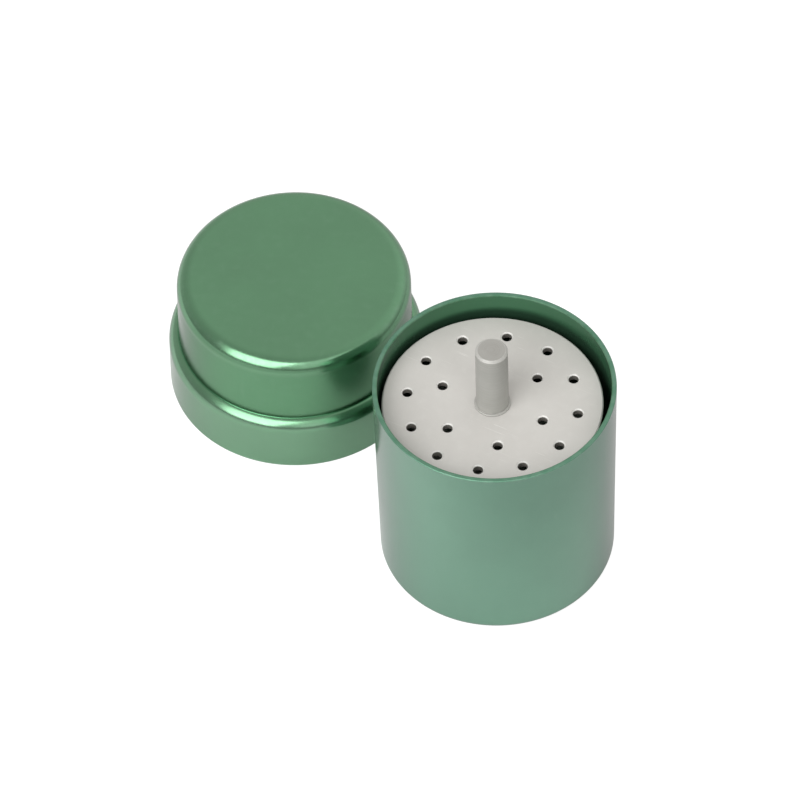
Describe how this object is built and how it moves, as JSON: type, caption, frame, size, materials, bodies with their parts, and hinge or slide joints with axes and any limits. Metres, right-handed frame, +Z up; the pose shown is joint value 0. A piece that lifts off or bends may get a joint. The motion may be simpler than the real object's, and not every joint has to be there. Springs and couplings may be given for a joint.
{
  "type": "endodontic file box",
  "caption": "Round satin-green anodised cup with a lift-out drilled file rack on a centre post, and its stepped lid standing beside it.",
  "frame": {"origin": "centre of the cup's flat underside, on the surface that the box stands on", "axes": "+Z up along the cup's and the rack's axis, -Y towards the front, +X to the right seen from the front; the lid stands behind and to the left of the cup"},
  "size_m": [0.0922, 0.0985, 0.0611],
  "materials": {
    "green_anodised": "satin green anodised",
    "silver_anodised": "satin clear anodised",
    "turned_aluminium": "satin, turned and clear anodised",
    "stainless_steel": "satin"
  },
  "bodies": {
    "cup": {"cup": "green_anodised"},
    "rack": {"file_plate": "silver_anodised", "guide_plate": "silver_anodised", "foot_plate": "silver_anodised", "handle_post": "turned_aluminium", "post_washer": "turned_aluminium", "upper_spacer": "turned_aluminium", "lower_spacer": "turned_aluminium", "clamp_screw": "stainless_steel"},
    "lid": {"lid": "green_anodised"}
  },
  "joints": [
    {"name": "rack_lift", "type": "slide", "parent": "cup", "child": "rack", "axis": [0, 0, 1], "range_m": [0, 0.055]},
    {"name": "lid_lift", "type": "slide", "parent": "cup", "child": "lid", "axis": [0, 0, 1], "range_m": [0, 0.06]}
  ]
}
